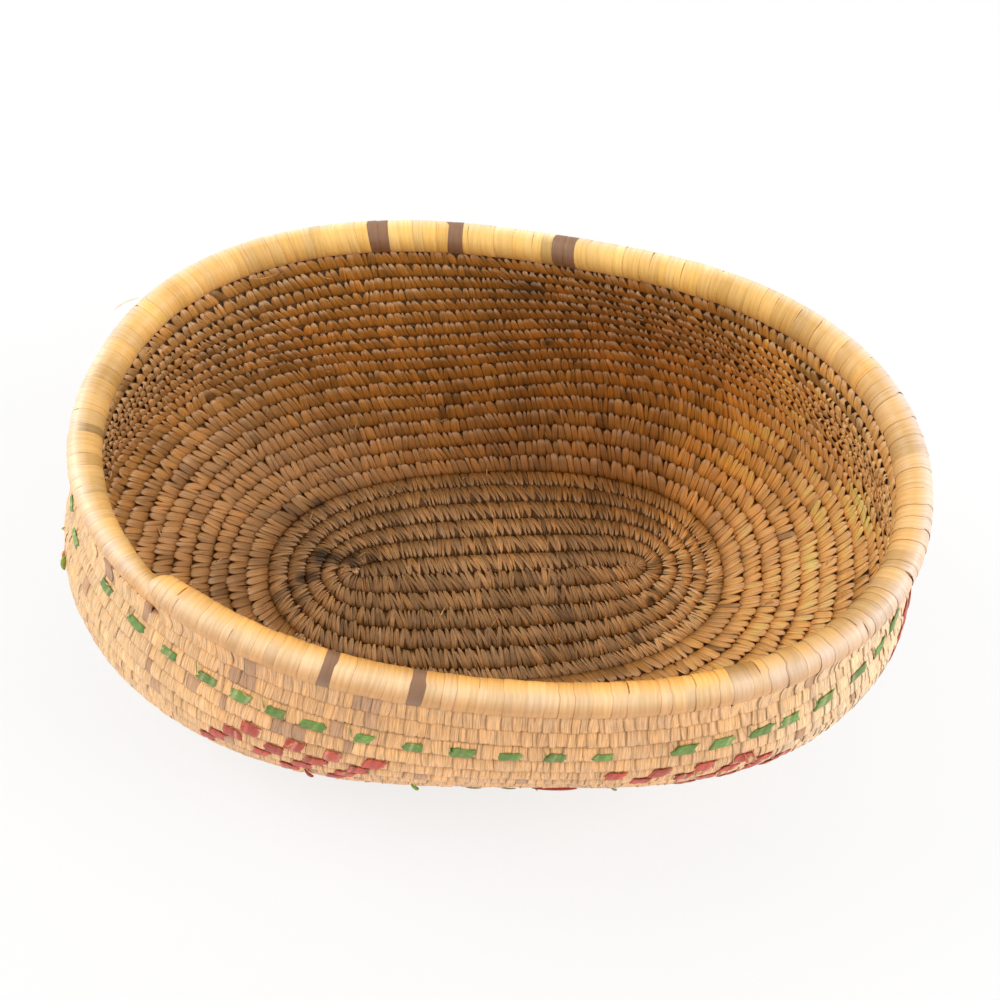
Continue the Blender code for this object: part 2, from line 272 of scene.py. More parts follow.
class Cord:
    """The smooth cord: its middle, the way into the basket, the way up to the next row."""

    def __init__(self):
        steps = np.append(np.arange(FREE_END_STEP, RIM_END), RIM_END)
        centres = cord_centres(steps)
        radii = cord_radii(steps, centres)
        half_row = (ROW_PITCH - CORD_GAP) / 2
        rise = (1 - 2 * FLAT_SHARE) * np.where(steps < FLOOR_STEPS, radii, half_row)
        low, high = (centres - radii[:, None]).min(0), (centres + radii[:, None]).max(0)
        first, last = round(FREE_TIP_STEP * FINE_STEPS_EACH), round(RIM_TIP * FINE_STEPS_EACH)
        self.steps = np.arange(first, last + 1) / FINE_STEPS_EACH
        self.middle = cord_centres(self.steps)
        self.straighten_tip()
        self.middle[:, 2] += np.interp(self.steps, steps, rise)
        self.middle[:, :2] -= ((low + high) / 2)[:2]
        self.radius = np.interp(self.steps, steps, radii)
        self.find_ways()

    def straighten_tip(self):
        """The core's free end runs on straight, where the solid's first tight curl is left out."""
        tip = round((FREE_END_STEP - FREE_TIP_STEP) * FINE_STEPS_EACH)
        run = self.middle[tip + 1] - self.middle[tip]
        self.middle[:tip] = self.middle[tip] - run * (tip - np.arange(tip))[:, None]

    def find_ways(self):
        """Up is towards the next turn of the winding; above and below share the way by radius."""
        along = np.gradient(self.middle, axis=0)
        self.speed = np.linalg.norm(along, axis=1) * FINE_STEPS_EACH
        self.along = along = unit(along)
        above, above_radius = self.next_turn(1)
        below, below_radius = self.next_turn(-1)
        up = np.nansum(np.stack([above, -below]), 0)
        self.up = unit(up - (up * along).sum(1, keepdims=True) * along)
        self.inward = np.cross(along, self.up)
        self.up_above = np.where(np.isnan(above), self.up, unit(above))
        self.up_below = np.where(np.isnan(below), self.up, unit(-below))
        self.above = np.linalg.norm(above, axis=1) * self.radius / (self.radius + above_radius)
        self.below = np.linalg.norm(below, axis=1) * self.radius / (self.radius + below_radius)
        self.above = np.where(np.isnan(self.above), self.radius, self.above)
        self.below = np.where(np.isnan(self.below), self.radius + CORE_SEAM, self.below)
        lengths = np.linalg.norm(np.diff(self.middle, axis=0), axis=1)
        self.length = np.append(0, np.cumsum(lengths))

    def next_turn(self, way):
        """The way square across to the nearest point of the next turn up (1) or down (-1), and
        that turn's radius there."""
        places = np.arange(len(self.steps))
        across = places + way * STEPS_PER_TURN * FINE_STEPS_EACH
        there = (across >= 0) & (across < len(places))
        nearest, closest = across.clip(0, len(places) - 1), np.full(len(places), np.inf)
        for slip in range(-NEXT_TURN_REACH, NEXT_TURN_REACH + 1):
            other = (across + slip).clip(0, len(places) - 1)
            away = np.linalg.norm(self.middle[other] - self.middle, axis=1)
            nearest = np.where(away < closest, other, nearest)
            closest = np.minimum(away, closest)
        across = self.middle[nearest] - self.middle
        across -= (across * self.along).sum(1, keepdims=True) * self.along
        return np.where(there[:, None], across, np.nan), self.radius[nearest]

    def at(self, step, values):
        if values.ndim == 1:
            return np.interp(step, self.steps, values)
        return np.stack([np.interp(step, self.steps, values[:, axis]) for axis in range(3)], -1)

    def skin(self, step, height, depth, proud):
        """A point on the wrapped cord: height up the wall and depth into the basket are shares
        of the cord's own, and it stands proud of that by some metres."""
        size = np.sqrt(0.4 * height**2 + depth**2) + 0.05
        upper = height > 0
        reach = np.where(upper, self.at(step, self.above), self.at(step, self.below))
        into = depth * (self.at(step, self.radius) + proud / size)
        rise = height * (reach + 0.4 * proud / size)
        points = self.at(step, self.middle)
        points = points + self.at(step, self.inward) * into[:, None]
        above, below = self.at(step, self.up_above), self.at(step, self.up_below)
        points = points + np.where(upper[:, None], above, below) * rise[:, None]
        points[:, 2] = np.maximum(points[:, 2], 0)
        return points

    def round_end(self, step, points):
        """Draws the skin in to a rounded end where the rim stops."""
        way = np.clip((RIM_TIP - step) * self.at(step, self.speed) / RIM_CORD_RADIUS, 0, 1)
        narrow = np.sqrt(np.clip(1 - (1 - way) ** 2, 0, 1)).clip(0.03)
        middle = self.at(step, self.middle)
        return middle + (points - middle) * narrow[:, None]


CORD = Cord()


def bunches():
    """(name, CAD node, first step, last step, how it is wrapped, material slot) of each run."""
    wall_start = FLOOR_STEPS + 0.5 - SPLICE_STAGGER_STEPS
    pieces = [("start_core", "start_core", FREE_TIP_STEP, CORE_STEPS, "floor", "core_palm")]
    last = CORE_STEPS
    for n in range(1, FLOOR_COILS + 1):
        end = wall_start - FLOOR_COIL_STEPS * (FLOOR_COILS - n)
        node = f"floor_coil_{n}"
        pieces.append((node, node, last, end, "floor", "floor_palm"))
        last = end
    for n in range(1, WALL_ROWS + 1):
        end = FLOOR_STEPS + STEPS_PER_TURN * n + SPLICE_STAGGER_STEPS * (n % SPLICE_CYCLE - 1) + 0.5
        node = f"wall_coil_{n:02d}"
        open_top = min(end, RIM_START)
        pieces.append((node, node, last, open_top, "floor" if n == 1 else "wall", "wall_palm"))
        last = end
    pieces.append((f"{node}_binding", node, RIM_START, last, "rim", "wall_palm"))
    tight = RIM_TIP - RIM_END_RUN
    pieces.append(("rim_coil", "rim_coil", last, tight, "rim", "rim_palm"))
    pieces.append(("rim_coil_end", "rim_coil", tight, RIM_TIP, "rim end", "rim_palm"))
    return pieces


def straight_straps(count, sides, stations, spacing=2.0):
    """A row of closed straps side by side, before they are bent round the cord."""
    bm = bmesh.new()
    bmesh.ops.create_cone(
        bm, cap_ends=True, segments=sides, radius1=0.5, radius2=0.5, depth=stations - 1
    )
    long_edges = [e for e in bm.edges if abs(e.verts[0].co.z - e.verts[1].co.z) > 0.5]
    bmesh.ops.subdivide_edges(bm, edges=long_edges, cuts=stations - 2, use_grid_fill=True)
    done = 1
    while done < count:
        more = min(done, count - done)
        first = [v for v in bm.verts if v.co.x < (more - 0.5) * spacing]
        faces = list({face for v in first for face in v.link_faces})
        edges = list({edge for v in first for edge in v.link_edges})
        copy = bmesh.ops.duplicate(bm, geom=first + edges + faces)["geom"]
        moved = [v for v in copy if isinstance(v, bmesh.types.BMVert)]
        bmesh.ops.translate(bm, verts=moved, vec=(done * spacing, 0, 0))
        done += more
    mesh = bpy.data.meshes.new("straps")
    bm.to_mesh(mesh)
    bm.free()
    points = np.empty(len(mesh.vertices) * 3)
    mesh.vertices.foreach_get("co", points)
    points = points.reshape(-1, 3)
    strap = np.floor((points[:, 0] + spacing / 2) / spacing).astype(int)
    station = np.round(points[:, 2] + (stations - 1) / 2).astype(int)
    round_strap = np.arctan2(points[:, 1], points[:, 0] - strap * spacing)
    corner = np.round((round_strap - round_strap[0]) * sides / (2 * math.pi)).astype(int) % sides
    return mesh, strap, station, corner


def turn_faces_out(mesh):
    """Turns the faces over where the bending left them facing inwards."""
    bm = bmesh.new()
    bm.from_mesh(mesh)
    if bm.calc_volume(signed=True) < 0:
        bmesh.ops.reverse_faces(bm, faces=bm.faces[:])
        bm.to_mesh(mesh)
    bm.free()


def place(mesh, points):
    mesh.vertices.foreach_set("co", np.ascontiguousarray(points, np.float32).ravel())
    mesh.update()
    turn_faces_out(mesh)
    mesh.shade_smooth()


def paint(mesh, colours, across, along, seed):
    """Leaf colour by point, and a UV map in millimetres of leaf across and along the fibre."""
    layer = mesh.color_attributes.new("leaf_colour", "FLOAT_COLOR", "POINT")
    rgba = np.concatenate([np.clip(colours, 0, 1), np.ones((len(colours), 1))], 1)
    layer.data.foreach_set("color", rgba.astype(np.float32).ravel())
    corners = np.empty(len(mesh.loops), np.int32)
    mesh.loops.foreach_get("vertex_index", corners)
    uv = np.stack([across + 37.0 * seed, along + 11.0 * seed], -1)[corners]
    mesh.uv_layers.new(name="leaf_uv").data.foreach_set("uv", uv.astype(np.float32).ravel())


def make_piece(name, mesh, material, node=None):
    mesh.name = name
    mesh.materials.append(material)
    obj = bpy.data.objects.new(name, mesh)
    bpy.context.scene.collection.objects.link(obj)
    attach(obj, "root")
    if node:
        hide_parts(node)
    return obj


def spread(first, last, width, unevenness, rng):
    """Middles and widths, in steps and metres, of wraps that fill the cord from end to end."""
    start, end = np.interp([first, last], CORD.steps, CORD.length)
    count = max(2, round((end - start) / width))
    shares = rng.normal(1, unevenness, count).clip(0.55, 1.6)
    edges = np.concatenate([[0], np.cumsum(shares)]) / shares.sum() * (end - start) + start
    middles = (edges[1:] + edges[:-1]) / 2
    return np.interp(middles, CORD.length, CORD.steps), np.diff(edges)


def blotches(points, size, seed):
    """Patches of about this size in metres, the same on every row that crosses them."""
    rng = np.random.default_rng(seed)
    ways = unit(rng.normal(0, 1, (16, 3))) * rng.uniform(0.7, 1.4, (16, 1)) * 2 * math.pi / size
    return np.cos(points @ ways.T + rng.uniform(0, 2 * math.pi, 16)).sum(1) / math.sqrt(8)


def smooth_noise(count, length, rng):
    """Noise that drifts over runs of about this many wraps, between -1 and 1."""
    knots = rng.uniform(-1, 1, int(count / length) + 3)
    return np.interp(np.arange(count) / length, np.arange(len(knots)), knots)


STREAK_RANGE = (0.28, 0.72)  # share of the noise that the fibre streaks spread over
STREAK_LIGHT_SHARE = 0.85  # light streaks differ less from the leaf than dark ones
ROUGHNESS_SPREAD = 0.12
BUMP_STRENGTH = 0.6


def principled(name):
    material = bpy.data.materials.new(name)
    material.use_nodes = True
    return material, material.node_tree, material.node_tree.nodes["Principled BSDF"]


def add_node(tree, kind, inputs=None, **settings):
    node = tree.nodes.new(f"ShaderNode{kind}")
    for name, value in settings.items():
        setattr(node, name, value)
    for name, value in (inputs or {}).items():
        node.inputs[name].default_value = value
    return node


def leaf_material(name, streak_across, streak_along, contrast, depth, roughness, gloss):
    """Dried palm leaf: colour from the wraps, fine fibre streaks along each one."""
    material, tree, shader = principled(name)
    link = tree.links.new
    colour = add_node(tree, "Attribute", attribute_name="leaf_colour")
    uv = add_node(tree, "UVMap", uv_map="leaf_uv")
    scale = add_node(tree, "Mapping", {"Scale": (streak_across, streak_along, 1)})
    link(uv.outputs["UV"], scale.inputs["Vector"])
    fibre = add_node(
        tree, "TexNoise", {"Scale": 1, "Detail": 3, "Roughness": 0.6}, noise_dimensions="2D")
    link(scale.outputs["Vector"], fibre.inputs["Vector"])
    streak = add_node(tree, "MapRange", {
        "From Min": STREAK_RANGE[0], "From Max": STREAK_RANGE[1],
        "To Min": 1 - contrast, "To Max": 1 + STREAK_LIGHT_SHARE * contrast,
    })
    link(fibre.outputs["Fac"], streak.inputs["Value"])
    tint = add_node(tree, "VectorMath", operation="SCALE")
    link(colour.outputs["Color"], tint.inputs[0])
    link(streak.outputs["Result"], tint.inputs["Scale"])
    link(tint.outputs["Vector"], shader.inputs["Base Color"])
    rough = add_node(tree, "MapRange", {
        "To Min": roughness - ROUGHNESS_SPREAD, "To Max": roughness + ROUGHNESS_SPREAD})
    link(fibre.outputs["Fac"], rough.inputs["Value"])
    link(rough.outputs["Result"], shader.inputs["Roughness"])
    bump = add_node(tree, "Bump", {"Strength": BUMP_STRENGTH, "Distance": depth})
    link(fibre.outputs["Fac"], bump.inputs["Height"])
    link(bump.outputs["Normal"], shader.inputs["Normal"])
    shader.inputs["Specular IOR Level"].default_value = gloss
    return material


def wrap_run(first, last, settings, rng):
    """Wraps from one splice to the next, bent round the cord."""
    middles, widths = spread(first, last, settings["width"], settings["unevenness"], rng)
    heights, depths, shares, crowns = np.array(settings["stations"]).T
    section = np.array(settings["section"])
    mesh, strap, station, corner = straight_straps(len(middles), len(section), len(heights))
    count = len(middles)
    height, depth, share = (np.tile(values, (count, 1)) for values in (heights, depths, shares))
    proud = np.tile(rng.normal(0, settings["lift_jitter"], (count, 1)), (1, len(heights)))
    if settings["tipped"]:
        under_rim = middles > RIM_START - STEPS_PER_TURN
        for place_in_wrap, reach in TOP_ROW_REACH.items():
            height[under_rim, place_in_wrap], depth[under_rim, place_in_wrap] = reach
        slip = np.sign(heights[TIP]) * rng.normal(0, settings["tip_jitter"], (count, 1))
        height[:, TIP - 3 : TIP + 1] += slip * np.array([0.2, 0.5, 0.9, 1.0])
        blunt = rng.uniform(-0.5, 1.0, (count, 1))
        share[:, TIP - 2 : TIP + 1] += blunt * np.array([0.04, 0.14, 0.24])
        stray = rng.random((count, 1)) < settings["stray_share"]
        stray = stray * rng.uniform(0.4, 1.0, (count, 1))
        proud[:, TIP - 1 : TIP + 1] += np.abs(rng.normal(0, settings["tip_lift"], (count, 1)))
        proud[:, TIP - 1 : TIP + 1] += stray * np.array([0.5, 1.1])
        height[:, -1] += rng.normal(0, 0.07, count)
        share[:, -1] += rng.uniform(-0.25, 0.35, count)
    places = CORD.at(middles, CORD.middle)
    crown = (0.82 + 0.40 * blotches(places, 0.020, 3) + rng.normal(0, 0.18, count)).clip(0.15, 1.6)
    tilt = settings["shingle"] + rng.normal(0, settings["tilt_jitter"], count)
    outer_tilt = settings["outer_shingle"] + rng.normal(0, settings["tilt_jitter"], count)
    tilts = np.where(depths[station] > 0, tilt[strap], outer_tilt[strap])
    back = section[corner, 1] * crowns[station] * crown[strap] + section[corner, 0] * tilts
    raised = (proud[strap, station] + back) * MM
    way_round = np.unwrap(np.arctan2(height, depth), axis=1)[strap, station]
    height, depth = height[strap, station], depth[strap, station]
    lean = settings["lean"] + settings["lean_jitter"] * (
        0.6 * blotches(places, 0.03, 5) + rng.normal(0, 0.8, count))
    outer_lean = settings["outer_lean"] + rng.normal(0, settings["outer_lean_jitter"], count)
    slope = np.where(depth > 0, lean[strap], outer_lean[strap])
    sideways = -slope * height * CORD.at(middles, CORD.radius)[strap]
    across = section[corner, 0] * share[strap, station] * widths[strap] * settings["overlap"]
    step = middles[strap] + (across + sideways) / CORD.at(middles, CORD.speed)[strap]
    step = np.clip(step, FREE_TIP_STEP, RIM_TIP)
    points = CORD.round_end(step, CORD.skin(step, height, depth, raised))
    place(mesh, points)
    along = way_round * CORD.at(middles, CORD.radius)[strap] / MM
    return mesh, strap, corner, middles, points, across / MM, along, (height, depth)


def leaf_shades(middles, spot, strap, corner, inner, outer, rng, settings):
    """Colour of each point: brown within, straw outside, with patches and odd leaves; painted shade
    at roots, edges and low outer faces, painted light by place, and tips paled by wear and a painted
    highlight.
    """
    height, depth = spot
    count = len(middles)
    places = CORD.at(middles, CORD.middle)
    tone = 1 + 0.09 * blotches(places, 0.070, 11) + 0.08 * blotches(places, 0.024, 12)
    tone = tone * (1 + 0.07 * smooth_noise(count, 7, rng))
    tone = tone * rng.normal(1, settings["shade_jitter"], count)
    dark = smooth_noise(count, 12, rng) > settings["dark_above"]
    dark |= blotches(places, 0.013, 13) > DARK_PATCH_ABOVE
    tone = np.where(dark, tone * rng.uniform(0.45, 0.75, count), tone).clip(0.3, 1.6)
    way_up = height * np.sign(settings["stations"][TIP][0])
    # Painted shade: each wrap is painted darker towards its root, where it lies under the tips of the
    # neighbouring row.
    root = (settings["root_shade"] * ease(-way_up, -0.2, 1.0))[:, None] * np.array([0.85, 1.0, 1.2])
    # Tips paled partly by wear and partly as a painted highlight where light catches the curved tips.
    wear_and_highlight_share = settings["tip_wear_and_highlight"] * ease(way_up, 0.30, 1.05) * rng.uniform(0.3, 1.5, count)[strap]
    hue = rng.normal(0, settings["hue_jitter"], count)[strap][:, None] * np.array([0.5, 0, -1.5])
    inner_colour = np.array(inner) * (1 + hue) * tone[strap][:, None] * (1 - root).clip(0, 1)
    honey = 0.8 * np.exp(-(((middles - HONEY_STEP) / HONEY_RUN) ** 4)) * (middles > HONEY_FROM)
    honey = honey[strap][:, None]
    # Painted light and shade inside, by place.
    if settings["tipped"]:
        inner_colour = inner_colour * painted_inner_light(places)[strap]
    inner_colour = inner_colour * (1 - honey) + np.array(HONEY_LEAF) * honey
    inner_colour = inner_colour + wear_and_highlight_share[:, None] * (np.array(WORN_AND_HIGHLIT_TIP) - inner_colour)
    outer_tone = 1 + 0.04 * blotches(places, 0.05, 14) + rng.normal(0, 0.05, count)
    # Painted shade: the outer face is painted tanner low down, most on the near side, below the lit
    # top.
    near = (0.30 + 0.70 * ease(-places[:, 1], 0.0, 0.06))[strap]
    low = (near * ease(-height, -0.90, -0.30))[:, None] * settings["painted_low_shade"]
    outer_colour = np.array(outer) * outer_tone[strap][:, None] * (1 + 0.6 * hue)
    outer_colour = outer_colour * (1 - low * np.array([0.16, 0.36, 0.58]))
    # Painted light and shade outside, by place.
    if settings["tipped"]:
        outer_colour = outer_colour * painted_outer_light(places)[strap]
    else:
        # Painted light on the rim, by place.
        rim_light_paint = painted_rim_light(places)[strap]
        inner_colour, outer_colour = inner_colour * rim_light_paint, outer_colour * rim_light_paint
    browned = blotches(places, 0.012, 15) > settings["stain_above"]
    browned |= rng.random(count) < settings["stain_share"]
    for start, end in BROWN_STITCH_STEPS:
        browned |= (middles > start) & (middles < end)
    brown = np.array(settings["brown"]) * rng.uniform(0.85, 1.15, count)[strap][:, None]
    outer_colour = np.where(browned[strap][:, None], brown, outer_colour)
    inside = np.clip(depth * 2 + 0.35, 0, 1)[:, None]
    colour = inner_colour * inside + outer_colour * (1 - inside)
    # Painted shade along the edges of each wrap, where they dip into the seams.
    edge = np.abs(np.array(settings["section"])[corner, 0]) > 0.48
    edge_shade = np.where(depth > 0, settings["edge_shade"], settings["outer_edge_shade"])
    return colour * np.where(edge, edge_shade, 1)[:, None]


def painted_inner_light(places):
    """Painted light and shade inside: the leaf is painted browner and darker on the far wall, where
    shade falls, and paler at the two ends and near, where light falls.
    """
    x, y = places[:, 0], places[:, 1]
    far = ease(y, 0.02, 0.08) * (1 - ease(np.abs(x), 0.09, 0.15))
    right, left, near = ease(x, 0.05, 0.13), ease(-x, 0.06, 0.14), ease(-y, 0.04, 0.09)
    paler = 1 + right[:, None] * np.array([1.08, 1.32, 1.55]) + (0.13 * left + 0.48 * near)[:, None]
    return paler * (1 - far[:, None] * np.array([0.05, 0.22, 0.62]))


def painted_outer_light(places):
    """Painted light and shade outside: the leaf is painted tanner along the near side, where shade
    falls, and paler at the right end, where light falls.
    """
    x, y = places[:, 0], places[:, 1]
    right = ease(x, 0.08, 0.15)[:, None] * np.array([0.05, 0.15, 0.42])
    near = ease(-y, 0.03, 0.08) * (1 - ease(x, 0.08, 0.14)) * (1 - 0.8 * ease(-x, 0.06, 0.12))
    return (1 + right) * (1 - near[:, None] * np.array([0.05, 0.17, 0.25]))


def painted_rim_light(places):
    """Painted light on the rim: it is painted paler on the far side and at the two ends of the oval,
    where light falls.
    """
    x, y = places[:, 0], places[:, 1]
    far, right, left = ease(y, 0.03, 0.09), ease(x, 0.07, 0.13), ease(-x, 0.07, 0.13)
    far = far * (1 - 0.6 * np.maximum(right, left))
    paler = far[:, None] * np.array([0.10, 0.26, 0.32]) + left[:, None] * np.array([0.05, 0.16, 0.36])
    return 1 + paler + right[:, None] * np.array([-0.06, 0.05, 0.42])


def stem_bunch(name, first, last, colours, material, rng):
    """The bunch of grass stems inside the wraps, seen between them; on the floor and wall its colours
    are darker than the leaf, as painted shade in the gaps.
    """
    sides = STEM_SIDES
    on_rim = name.startswith("rim") or "binding" in name
    count = max(4, int((last - first) * (24 if on_rim else 6)))
    mesh, _, station, corner = straight_straps(1, sides, count)
    step = first + (last - first) * station / (count - 1)
    radians = corner * 2 * math.pi / sides
    height, depth = np.sin(radians), np.cos(radians)
    swell = 0.0 if on_rim else 0.80
    depth = np.where(on_rim & (depth < 0), depth * RIM_OUTER_SHARE, depth)
    sunk = 0.85 if on_rim else 0.60
    ridges = rng.normal(0, 0.13, sides)[corner] - sunk + swell * height**4
    points = CORD.round_end(step, CORD.skin(step, height, depth, ridges * MM))
    points[:, 2] = np.maximum(points[:, 2], 0.3 * MM)
    place(mesh, points)
    inside = np.clip(depth * 2 + 0.5, 0, 1)[:, None]
    colour = np.array(colours[0]) * inside + np.array(colours[1]) * (1 - inside)
    colour = colour * rng.normal(1, 0.14, sides)[corner][:, None]
    paint(mesh, colour, CORD.at(step, CORD.length) / MM, radians * 3.5, 0 * step)
    return make_piece(name, mesh, material)


def strips(name, spots, colour, material, rng):
    """Dyed strips of leaf laid over the row: (step, length and share of the row's height)."""
    section = np.array((
        (-0.50, -0.16), (-0.44, 0.06), (-0.12, 0.12), (0.14, 0.08), (0.44, 0.08), (0.50, -0.16),
        (0.0, -0.75)))
    stations = 9
    mesh, strap, station, corner = straight_straps(len(spots), len(section), stations)
    at, length, low, high = np.array(spots).T
    count = len(spots)
    share = station / (stations - 1) - 0.5
    ragged = rng.normal(0, 0.0005, (count, 2, len(section)))[strap, (share > 0).astype(int), corner]
    ends = ease(np.abs(share), 0.36, 0.5)
    run = share * length[strap] + ragged * ends
    slant = rng.normal(-0.0006, 0.0003, count)
    middle, half = ((low + high) / 2)[strap], ((high - low) / 2)[strap]
    half = half * (1 - 0.06 * ends) * rng.normal(1, 0.06, (count, stations))[strap, station]
    height = middle + 2 * half * section[corner, 0]
    sheared = run + slant[strap] * section[corner, 0] * 2
    step = at[strap] + sheared / CORD.at(at, CORD.speed)[strap]
    waves_each, phase = rng.uniform(5, 13, count)[strap], rng.uniform(0, 6, count)[strap]
    crease = 0.10 * np.sin(share * waves_each + phase)
    proud = 0.42 + section[corner, 1] + crease - 0.25 * ends
    points = CORD.skin(step, height, np.full(len(step), -1.04), proud * MM)
    place(mesh, points)
    tone = rng.normal(1, 0.10, count)[strap]
    tone = tone * rng.normal(1, 0.14, (count, stations))[strap, station]
    pale = 0.5 * ease(rng.normal(0, 1, (count, stations))[strap, station], 1.2, 2.2)[:, None]
    colours = np.array(colour) * tone[:, None] * (1 - pale) + np.array((0.75, 0.55, 0.35)) * pale
    paint(mesh, colours, section[corner, 0] * 5, run / MM, strap)
    return make_piece(name, mesh, material)


def strands(name, paths, colours, width, material, rng):
    """Loose fibres: each starts and ends at (step, height, depth, proud in mm) and bows between."""
    stations, sides = 9, 5
    mesh, strap, station, corner = straight_straps(len(paths), sides, stations)
    share = station / (stations - 1)
    ends = np.array([start + end for start, end, _ in paths])
    bow = np.array([bend for _, _, bend in paths])[strap] * np.sin(math.pi * share)
    spot = ends[strap, :4] + (ends[strap, 4:] - ends[strap, :4]) * share[:, None]
    points = CORD.skin(spot[:, 0], spot[:, 1], spot[:, 2], (spot[:, 3] + bow) * MM)
    spine = points.reshape(-1, 3)
    order = np.lexsort((corner, station, strap))
    ordered = spine[order].reshape(len(paths), stations, sides, 3)
    ahead = unit(np.gradient(ordered[:, :, 0], axis=1) + 1e-9)
    side = unit(np.cross(ahead, np.array([0.31, 0.52, 0.80])))
    over = np.cross(ahead, side)
    narrowed = 1 - 0.7 * np.abs(np.linspace(-1, 1, stations)) ** 3
    wide = np.array(width)[:, None, None] * MM * narrowed[None, :, None]
    for n in range(sides):
        turn = 2 * math.pi * n / sides
        ordered[:, :, n] += wide * (side * math.cos(turn) / 2 + over * math.sin(turn) / 6)
    bent = np.empty_like(spine)
    bent[order] = ordered.reshape(-1, 3)
    bent[:, 2] = np.maximum(bent[:, 2], 0)
    place(mesh, bent)
    tone = rng.normal(1, 0.08, (len(paths), stations))[strap, station][:, None]
    paint(mesh, np.array(colours)[strap] * tone, corner * 1.0, share * 10, strap)
    return make_piece(name, mesh, material)


# The root, edge and low settings paint shade; the tip setting paints wear and a highlight.
WALL_SETTINGS = dict(
    stations=WALL_WRAP, section=THIN_SECTION, tipped=True, unevenness=0.28, lift_jitter=0.11,
    tip_jitter=0.12, tip_lift=0.24, stray_share=0.03, shingle=0.06, tilt_jitter=0.12, lean=0.30,
    lean_jitter=0.16, outer_lean=0.0, outer_lean_jitter=0.05, overlap=1.08, outer_shingle=0.16,
    shade_jitter=0.10, hue_jitter=0.05, dark_above=0.88, stain_above=2.05, stain_share=0.008,
    root_shade=0.50, tip_wear_and_highlight=0.42, edge_shade=0.86, outer_edge_shade=0.98, painted_low_shade=0.0,
    brown=(0.57, 0.305, 0.155),
)
FLOOR_SETTINGS = dict(
    WALL_SETTINGS, stations=FLOOR_WRAP, unevenness=0.34, lift_jitter=0.12, tip_jitter=0.11,
    tip_lift=0.32, stray_share=0.06, lean=0.30, lean_jitter=0.22, overlap=1.10,
    shade_jitter=0.14, dark_above=0.95, root_shade=0.30, tip_wear_and_highlight=0.34, outer_shingle=0.15,
)
RIM_SETTINGS = dict(
    WALL_SETTINGS, stations=RIM_WRAP, section=BROAD_SECTION, tipped=False, unevenness=0.28,
    lift_jitter=0.05, shingle=0.22, tilt_jitter=0.06, lean=0.10, lean_jitter=0.05,
    outer_lean=0.10, outer_lean_jitter=0.05, overlap=1.16, outer_shingle=0.22,
    shade_jitter=0.035, hue_jitter=0.05, dark_above=2.0, stain_above=9.0, stain_share=0.0,
    root_shade=0.0, tip_wear_and_highlight=0.0, edge_shade=0.84, outer_edge_shade=0.84, painted_low_shade=1.0,
    brown=(0.28, 0.145, 0.075),
)
# Pale tip colour: worn leaf and a painted highlight.
WORN_AND_HIGHLIT_TIP = (0.86, 0.58, 0.33)
DARK_PATCH_ABOVE = 1.9
# Polished leaf on the top row at the right end, by step
HONEY_LEAF = (0.80, 0.43, 0.13)
HONEY_STEP, HONEY_RUN, HONEY_FROM = 564.2, 2.4, 560


def width_setting(name, description, default):
    return bpy.props.FloatProperty(
        name=name, description=description, default=default, unit="LENGTH", precision=4)


def colour_setting(name, description, default):
    return bpy.props.FloatVectorProperty(
        name=name, description=description, default=default, subtype="COLOR", min=0, max=1)


class BasketSizes(bpy.types.PropertyGroup):
    wall_wrap: width_setting("Wall wrap", "Width of one wrap on the wall", 0.0030)
    floor_wrap: width_setting("Floor wrap", "Width of one wrap on the floor", 0.0019)
    rim_wrap: width_setting("Rim wrap", "Width of one strip on the rim", 0.0042)
    rim_end_wrap: width_setting("Rim end wrap", "Width of the tight wraps at the rim's end", 0.0019)


class BasketColours(bpy.types.PropertyGroup):
    inner_wall: colour_setting("Inner wall", "Handled brown of the inside", (0.50, 0.255, 0.076))
    floor: colour_setting("Floor", "Greyer brown of the floor", (0.52, 0.290, 0.110))
    outer_wall: colour_setting("Outer wall", "Straw outside", (0.91, 0.560, 0.260))
    rim: colour_setting("Rim", "Polished pale leaf", (0.88, 0.585, 0.32))
    rim_inner: colour_setting("Rim inner face", "Honey side of the rim", (0.84, 0.44, 0.12))
    # Both stem colours are darker than the leaf: the grass core is real, and its dark colour is
    # painted shade in the gaps between wraps.
    stems: colour_setting("Stems", "Grass between the inner wraps", (0.21, 0.095, 0.024))
    shaded_outer_stems: colour_setting(
        "Outer stems", "Grass between the outer wraps", (0.50, 0.285, 0.120))
    green: colour_setting("Green", "Green dyed strips", (0.17, 0.29, 0.060))
    red: colour_setting("Red", "Red dyed strips", (0.53, 0.080, 0.048))


class BasketStage(bpy.types.PropertyGroup):
    key: bpy.props.FloatProperty(
        name="Key light", description="Soft light from above", default=7.0, unit="POWER")
    fill: bpy.props.FloatProperty(
        name="Sky", description="Even light from all round", default=0.8)


# Browner stitches outside, by step
BROWN_STITCH_STEPS = (
    (570.20, 570.46), (546.12, 546.30), (547.28, 547.44), (498.60, 498.86), (498.20, 498.32),
    (571.30, 571.38), (522.35, 522.48),
)


def lay_wraps(kind, width, inner, outer, settings, material, stems):
    """One piece of wraps and one bunch of stems for each CAD node of this kind."""
    for index, (name, node, first, last, part, slot) in enumerate(bunches()):
        if part != kind:
            continue
        rng = np.random.default_rng(WRAP_SEED + index)
        run = dict(settings, width=width)
        mesh, strap, corner, middles, points, across, along, spot = wrap_run(first, last, run, rng)
        colours = leaf_shades(middles, spot, strap, corner, inner, outer, rng, run)
        if kind == "rim":
            colours = brown_wraps(colours, middles, strap, run["brown"])
        colours = stained(colours, points)
        paint(mesh, colours, across, along, strap + 0.37 * index)
        make_piece(f"{name}_wraps", mesh, material, node)
        stem_bunch(f"{name}_stems", first, last, stems, material, rng)


